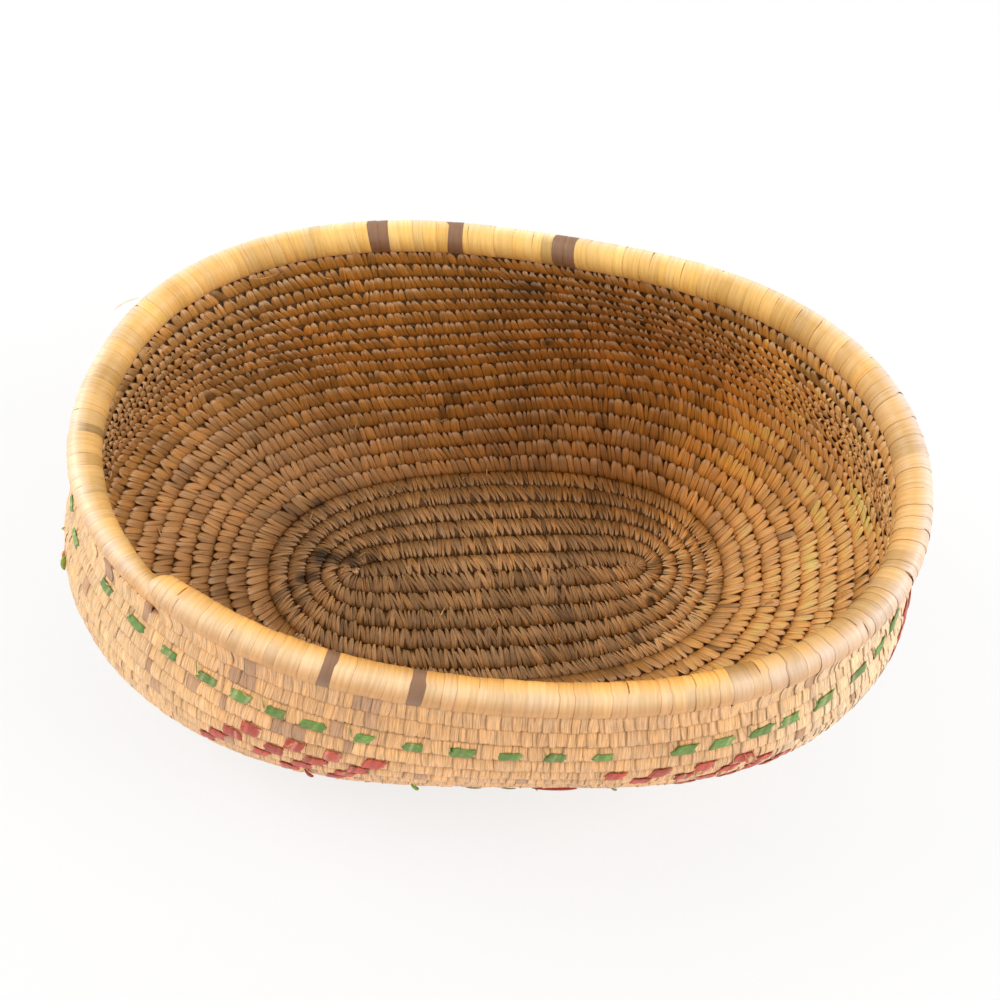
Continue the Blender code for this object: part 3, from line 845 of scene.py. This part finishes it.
def brown_wraps(colours, middles, strap, brown):
    """A few strips of the rim are of darker leaf."""
    dark = np.zeros(len(middles), bool)
    for start, end in BROWN_RIM_STEPS:
        dark |= (middles > start) & (middles < end)
    return np.where(dark[strap][:, None], np.array(brown), colours)


def stained(colours, points):
    for x, y, z, size, strength in STAINS:
        away = np.linalg.norm(points / MM - np.array([x, y, z]), axis=1)
        colours = colours * (1 - strength * np.exp(-((away / size) ** 4)))[:, None]
    return colours


RED_BLOCKS = 4  # blocks of one diagonal, one on each row
# Where the dashes lie along their row, in steps
GREEN_STEPS = (
    524.8, 524.3, 523.9, 523.5, 523.2, 522.9, 522.6, 522.2, 521.8, 521.4, 521.0, 520.6, 520.2,
    519.5, 519.17, 518.8, 518.5, 518.1, 517.6, 517.2, 516.8,
)
DASH_SPACING = 0.0158
# The top block of each diagonal, and the way that the blocks under it step
RED_DIAGONALS = (
    (474.96, 1), (474.65, 1), (474.36, 1), (474.05, 1), (472.13, -1), (471.77, -1), (471.37, -1),
    (471.05, -1),
)
RED_STEP = 0.0066  # each block of a diagonal lies this far past the one above it
MOTIF_SPACING = 0.250


def step_at(length):
    return float(np.interp(length, CORD.length, CORD.steps))


def length_at(step):
    return float(np.interp(step, CORD.steps, CORD.length))


def green_spots(rng):
    """The dashes that are seen, and the same run on round the row."""
    steps = list(GREEN_STEPS)
    length, start = length_at(min(steps)), length_at(501.2)
    while length - DASH_SPACING > start:
        length -= DASH_SPACING * rng.normal(1, 0.06)
        steps.append(step_at(length))
    return [
        (at, rng.uniform(0.0058, 0.0078), rng.uniform(-1.0, -0.85), rng.uniform(0.15, 0.45))
        for at in steps
    ]


def red_spots(rng):
    """Diagonals of four blocks stepping up the rows, four diagonals to a motif, round the wall."""
    tops = list(RED_DIAGONALS)
    shift = MOTIF_SPACING
    while length_at(RED_DIAGONALS[-1][0]) - shift > length_at(453.5):
        tops += [(step_at(length_at(at) - shift), way) for at, way in RED_DIAGONALS]
        shift += MOTIF_SPACING
    spots = []
    for top, way in tops:
        for n in range(RED_BLOCKS):
            under = length_at(top - STEPS_PER_TURN * n) + way * n * RED_STEP
            if n == 0 or rng.random() > 0.05:
                at = step_at(under + rng.normal(0, 0.0003))
                spots.append((at, rng.uniform(0.0055, 0.0066), -0.98, 0.92))
    return spots


# Old stains inside: place and size in millimetres, strength
STAINS = (
    (-74.2, -4.2, 5, 5.0, 0.85), (-68.0, -3.6, 4, 4.0, 0.80), (-60.5, -2.0, 5, 4.5, 0.78),
    (-51.5, 0.5, 5, 3.5, 0.60), (-79.8, -16.6, 5, 3.8, 0.85), (-75.0, -14.8, 5, 3.2, 0.70),
    (-83.0, -22.5, 6, 2.4, 0.55), (-86.5, -28.5, 6, 2.4, 0.40), (77.4, 9.7, 6, 2.6, 0.85),
    (-84.5, 22.8, 6, 3.2, 0.80), (6.2, 99.9, 63.4, 3.2, 0.75), (-7.0, 95.5, 100.5, 9.0, 0.45),
    (-35.5, 74.1, 26.9, 4.5, 0.60), (-60.0, 62.0, 30.0, 5.0, 0.35), (20.0, -6.0, 7, 9.0, 0.18),
)


class BASKET_OT_floor(bpy.types.Operator):
    """Wraps the floor's coils in fine leaf"""
    bl_idname = "basket.floor"
    bl_label = "Floor wraps"

    def execute(self, context):
        sizes, colours = context.scene.basket_sizes, context.scene.basket_colours
        material = leaf_material("floor leaf", 2.8, 0.22, 0.55, 0.0005, 0.46, 0.5)
        stems = (colours.stems, colours.shaded_outer_stems)
        lay_wraps("floor", sizes.floor_wrap, colours.floor, colours.outer_wall, FLOOR_SETTINGS,
                  material, stems)
        return {"FINISHED"}


class BASKET_OT_wall(bpy.types.Operator):
    """Wraps each row of the wall"""
    bl_idname = "basket.wall"
    bl_label = "Wall wraps"

    def execute(self, context):
        sizes, colours = context.scene.basket_sizes, context.scene.basket_colours
        material = leaf_material("wall leaf", 2.1, 0.12, 0.36, 0.0004, 0.44, 0.5)
        stems = (colours.stems, colours.shaded_outer_stems)
        lay_wraps("wall", sizes.wall_wrap, colours.inner_wall, colours.outer_wall, WALL_SETTINGS,
                  material, stems)
        return {"FINISHED"}


class BASKET_OT_rim(bpy.types.Operator):
    """Binds the rim in broad polished strips"""
    bl_idname = "basket.rim"
    bl_label = "Rim binding"

    def execute(self, context):
        sizes, colours = context.scene.basket_sizes, context.scene.basket_colours
        material = leaf_material("rim leaf", 1.0, 0.05, 0.13, 0.0002, 0.40, 0.45)
        stems = (colours.rim_inner, colours.rim_inner)
        lay_wraps("rim", sizes.rim_wrap, colours.rim_inner, colours.rim, RIM_SETTINGS,
                  material, stems)
        lay_wraps("rim end", sizes.rim_end_wrap, colours.rim_inner, colours.rim, RIM_SETTINGS,
                  material, stems)
        return {"FINISHED"}


class BASKET_OT_dyed(bpy.types.Operator):
    """Lays the green dashes and the red stepped diagonals over the outer rows"""
    bl_idname = "basket.dyed"
    bl_label = "Dyed strips"

    def execute(self, context):
        colours = context.scene.basket_colours
        material = leaf_material("dyed leaf", 1.6, 0.5, 0.30, 0.0002, 0.5, 0.35)
        rng = np.random.default_rng(DYED_SEED)
        strips("green_dashes", green_spots(rng), colours.green, material, rng)
        strips("red_diagonals", red_spots(rng), colours.red, material, rng)
        return {"FINISHED"}


class BASKET_OT_fibres(bpy.types.Operator):
    """Adds loose ends of leaf, dyed threads and stray fibres"""
    bl_idname = "basket.fibres"
    bl_label = "Loose fibres"

    def execute(self, context):
        colours = context.scene.basket_colours
        material = leaf_material("loose leaf", 3.0, 0.3, 0.25, 0.0001, 0.5, 0.35)
        rng = np.random.default_rng(FIBRE_SEED)
        paths, shades, widths = named_strands(colours)
        more = stray_fibres(colours, rng)
        strands("loose_fibres", paths + more[0], shades + more[1], widths + more[2], material, rng)
        return {"FINISHED"}


def named_strands(colours):
    """The loose ends that the photograph shows, as (start, end, bow), with colour and width."""
    green, red = tuple(colours.green), tuple(colours.red)
    lime, cream = (0.30, 0.42, 0.07), (0.90, 0.72, 0.46)
    listed = (
        (((453.90, -0.2, -1.0, 0.2), (453.80, 0.4, -1.0, 1.0), 0.6), lime, 0.8),
        (((429.62, 0.0, -1.0, 0.2), (429.48, -0.6, -1.0, 1.3), 0.5), lime, 2.2),
        (((429.72, -0.2, -1.0, 0.2), (429.60, -0.7, -1.0, 0.9), 0.3), (0.75, 0.30, 0.05), 1.4),
        (((581.30, -0.8, -0.9, 0.2), (581.42, -0.6, -1.0, 1.2), 0.5), lime, 1.1),
        (((582.00, -0.8, -0.9, 0.2), (581.90, -0.5, -1.0, 1.0), 0.4), lime, 0.9),
        (((401.90, -0.2, -1.0, 0.3), (401.84, -1.2, -1.0, 1.5), 0.5), (0.20, 0.50, 0.08), 2.2),
        (((401.50, -0.8, -1.0, 0.2), (401.36, -1.0, -1.0, 0.6), 0.3), (0.35, 0.36, 0.12), 0.7),
        (((401.22, -0.8, -1.0, 0.2), (401.08, -1.1, -1.0, 0.6), 0.3), (0.35, 0.36, 0.12), 0.7),
        (((400.95, -0.9, -1.0, 0.3), (400.58, -0.7, -1.0, 0.4), 0.2), red, 1.8),
        (((400.93, -0.9, -1.0, 0.3), (400.90, -1.5, -1.0, 1.2), 0.3), lime, 0.9),
        (((400.30, -0.4, -1.0, 0.3), (400.24, -1.2, -1.0, 1.0), 0.4), (0.25, 0.45, 0.15), 1.2),
        (((402.64, 0.5, -1.0, 0.4), (402.58, -0.7, -1.0, 1.4), 0.5), red, 2.0),
        (((471.02, 0.9, -1.0, 0.3), (470.97, -1.0, -1.0, 1.0), 0.9), (0.80, 0.22, 0.10), 3.4),
        (((470.94, 0.9, -1.0, 0.3), (470.90, -0.7, -1.0, 0.8), 0.6), (0.85, 0.35, 0.18), 2.2),
        (((533.70, 0.3, 1.0, 0.3), (533.90, -1.4, 1.0, 0.9), 0.6), cream, 0.6),
        (((578.60, -0.5, 0.9, 0.2), (579.10, -0.9, 1.0, 0.5), 2.0), (0.62, 0.36, 0.15), 0.5),
        (((588.20, -0.6, 0.9, 0.3), (587.60, -0.8, 1.0, 0.5), 0.8), (0.72, 0.50, 0.26), 0.45),
        (((577.20, 0.5, -0.9, 0.3), (576.80, 0.9, -1.0, 1.0), 0.8), cream, 0.6),
    )
    tails = [
        ((at + 0.09, -0.4, -1.0, 0.5), (at + 0.12, 1.0, -1.04, 0.6), 0.1)
        for at in GREEN_STEPS[1::2]
    ]
    paths = [path for path, _, _ in listed] + tails
    shades = [shade for _, shade, _ in listed] + [green] * len(tails)
    return paths, shades, [width for _, _, width in listed] + [0.8] * len(tails)


def stray_fibres(colours, rng):
    """Split ends that stand up here and there inside, and a few on the outside."""
    paths, shades, widths = [], [], []
    for _ in range(STRAY_FIBRES):
        at = rng.uniform(20, 560)
        side = 1 if rng.random() < 0.85 else -1
        height = rng.uniform(-0.3, 0.9)
        reach = rng.normal(0, 3.0) / (CORD.at([at], CORD.speed)[0] / MM)
        end = (at + reach, height + rng.uniform(0.2, 1.2), side * 1.0, rng.uniform(0.4, 1.8))
        paths.append(((at, height, side * 1.0, 0.1), end, rng.uniform(0.2, 1.2)))
        tone = rng.uniform(0.7, 1.25)
        base = np.array(colours.outer_wall if side < 0 else (0.74, 0.46, 0.22))
        shades.append(tuple((base * tone).clip(0, 1)))
        widths.append(rng.uniform(0.35, 0.8))
    return paths, shades, widths


class BASKET_OT_stage(bpy.types.Operator):
    """Pale floor, soft light and the camera"""
    bl_idname = "basket.stage"
    bl_label = "Stage"

    def execute(self, context):
        stage = context.scene.basket_stage
        lay_floor()
        light_sky(stage.fill)
        for name, (place_at, size, share) in LAMPS.items():
            hang_light(name, place_at, (0, 0, 0.08), size, stage.key * share)
        set_camera()
        context.scene.view_settings.view_transform = "Standard"
        return {"FINISHED"}


# Place, size and share of the key light's power
LAMPS = {
    "left": ((-1.15, 0.10, 0.85), 0.8, 1.15),
    "right": ((1.15, 0.05, 0.90), 0.8, 1.15),
    "back": ((0.10, 1.00, 1.10), 0.8, 0.12),
    "front": ((0.0, -1.3, 0.8), 0.8, 0.05),
}


STAGE_HALF_SIZE = 30
STAGE_PALE = 0.93
STAGE_GLOW = 0.955
STAGE_GLOW_SHARE = 0.75  # how much of the glow the camera sees, over the shadow


def lay_floor():
    mesh = bpy.data.meshes.new("floor")
    bm = bmesh.new()
    bmesh.ops.create_grid(bm, x_segments=1, y_segments=1, size=STAGE_HALF_SIZE)
    bm.to_mesh(mesh)
    bm.free()
    floor = bpy.data.objects.new("floor", mesh)
    bpy.context.scene.collection.objects.link(floor)
    material, tree, shader = principled("pale floor")
    link = tree.links.new
    shader.inputs["Base Color"].default_value = (STAGE_PALE, STAGE_PALE, STAGE_PALE, 1)
    shader.inputs["Roughness"].default_value = 0.9
    shader.inputs["Specular IOR Level"].default_value = 0.0
    glow = add_node(tree, "Emission", {"Color": (STAGE_GLOW, STAGE_GLOW, STAGE_GLOW, 1)})
    seen = add_node(tree, "LightPath")
    share = add_node(tree, "Math", {1: STAGE_GLOW_SHARE}, operation="MULTIPLY")
    link(seen.outputs["Is Camera Ray"], share.inputs[0])
    mix = add_node(tree, "MixShader")
    link(share.outputs["Value"], mix.inputs["Fac"])
    link(shader.outputs["BSDF"], mix.inputs[1])
    link(glow.outputs["Emission"], mix.inputs[2])
    link(mix.outputs["Shader"], tree.nodes["Material Output"].inputs["Surface"])
    mesh.materials.append(material)


def light_sky(strength):
    """Even light of this strength, which the camera and reflections see as plain white."""
    world = bpy.data.worlds.new("studio")
    bpy.context.scene.world = world
    world.use_nodes = True
    tree = world.node_tree
    link = tree.links.new
    sky = tree.nodes["Background"]
    sky.inputs["Color"].default_value = (1, 1, 1, 1)
    seen = add_node(tree, "LightPath")
    white = seen.outputs["Is Camera Ray"]
    for ray in ("Is Glossy Ray", "Is Transmission Ray"):
        either = add_node(tree, "Math", operation="MAXIMUM")
        link(white, either.inputs[0])
        link(seen.outputs[ray], either.inputs[1])
        white = either.outputs["Value"]
    level = add_node(tree, "MapRange", {"To Min": strength, "To Max": 1.0})
    link(white, level.inputs["Value"])
    link(level.outputs["Result"], sky.inputs["Strength"])


def hang_light(name, place_at, aim, size, power):
    lamp = bpy.data.lights.new(name, "AREA")
    lamp.shape = "DISK"
    lamp.size = size
    lamp.energy = power
    obj = bpy.data.objects.new(name, lamp)
    obj.location = place_at
    obj.rotation_euler = (Vector(aim) - Vector(place_at)).to_track_quat("-Z", "Y").to_euler()
    bpy.context.scene.collection.objects.link(obj)


CAMERA_PLACE = Vector((14.6367, -195.8661, 405.3505)) * MM
CAMERA_RIGHT = Vector((0.97716138, 0.19643193, 0.08105643))
CAMERA_UP = Vector((-0.20994258, 0.83343036, 0.51119267))
CAMERA_AHEAD = Vector((-0.03285968, 0.51653493, -0.85563538))
CAMERA_LENS = 34.86


def set_camera():
    camera = bpy.data.cameras.new("camera")
    camera.lens = CAMERA_LENS
    camera.sensor_width = 36
    camera.clip_start = 0.02
    obj = bpy.data.objects.new("camera", camera)
    turn = Matrix((CAMERA_RIGHT, CAMERA_UP, -CAMERA_AHEAD)).transposed().to_4x4()
    obj.matrix_world = Matrix.Translation(CAMERA_PLACE) @ turn
    bpy.context.scene.collection.objects.link(obj)
    bpy.context.scene.camera = obj


class BASKET_PT_panel(bpy.types.Panel):
    """Lists the basket's sizes, colours and steps"""
    bl_idname = "BASKET_PT_panel"
    bl_label = "Basket"
    bl_space_type = "VIEW_3D"
    bl_region_type = "UI"
    bl_category = "Basket"

    def draw(self, context):
        scene = context.scene
        for group in (scene.basket_sizes, scene.basket_colours, scene.basket_stage):
            box = self.layout.box()
            for name in group.bl_rna.properties.keys():
                if name not in ("rna_type", "name"):
                    box.prop(group, name)
        for operator in OPERATORS:
            self.layout.operator(operator.bl_idname)


GROUPS = (BasketSizes, BasketColours, BasketStage)
OPERATORS = (
    BASKET_OT_floor, BASKET_OT_wall, BASKET_OT_rim, BASKET_OT_dyed, BASKET_OT_fibres,
    BASKET_OT_stage,
)
CLASSES = (*GROUPS, *OPERATORS, BASKET_PT_panel)


def register():
    for cls in CLASSES:
        bpy.utils.register_class(cls)
    bpy.types.Scene.basket_sizes = bpy.props.PointerProperty(type=BasketSizes)
    bpy.types.Scene.basket_colours = bpy.props.PointerProperty(type=BasketColours)
    bpy.types.Scene.basket_stage = bpy.props.PointerProperty(type=BasketStage)


def unregister():
    del bpy.types.Scene.basket_stage
    del bpy.types.Scene.basket_colours
    del bpy.types.Scene.basket_sizes
    for cls in reversed(CLASSES):
        bpy.utils.unregister_class(cls)


def main():
    register()
    bpy.ops.basket.floor()
    bpy.ops.basket.wall()
    bpy.ops.basket.rim()
    bpy.ops.basket.dyed()
    bpy.ops.basket.fibres()
    bpy.ops.basket.stage()


if __name__ == "__main__":
    main()
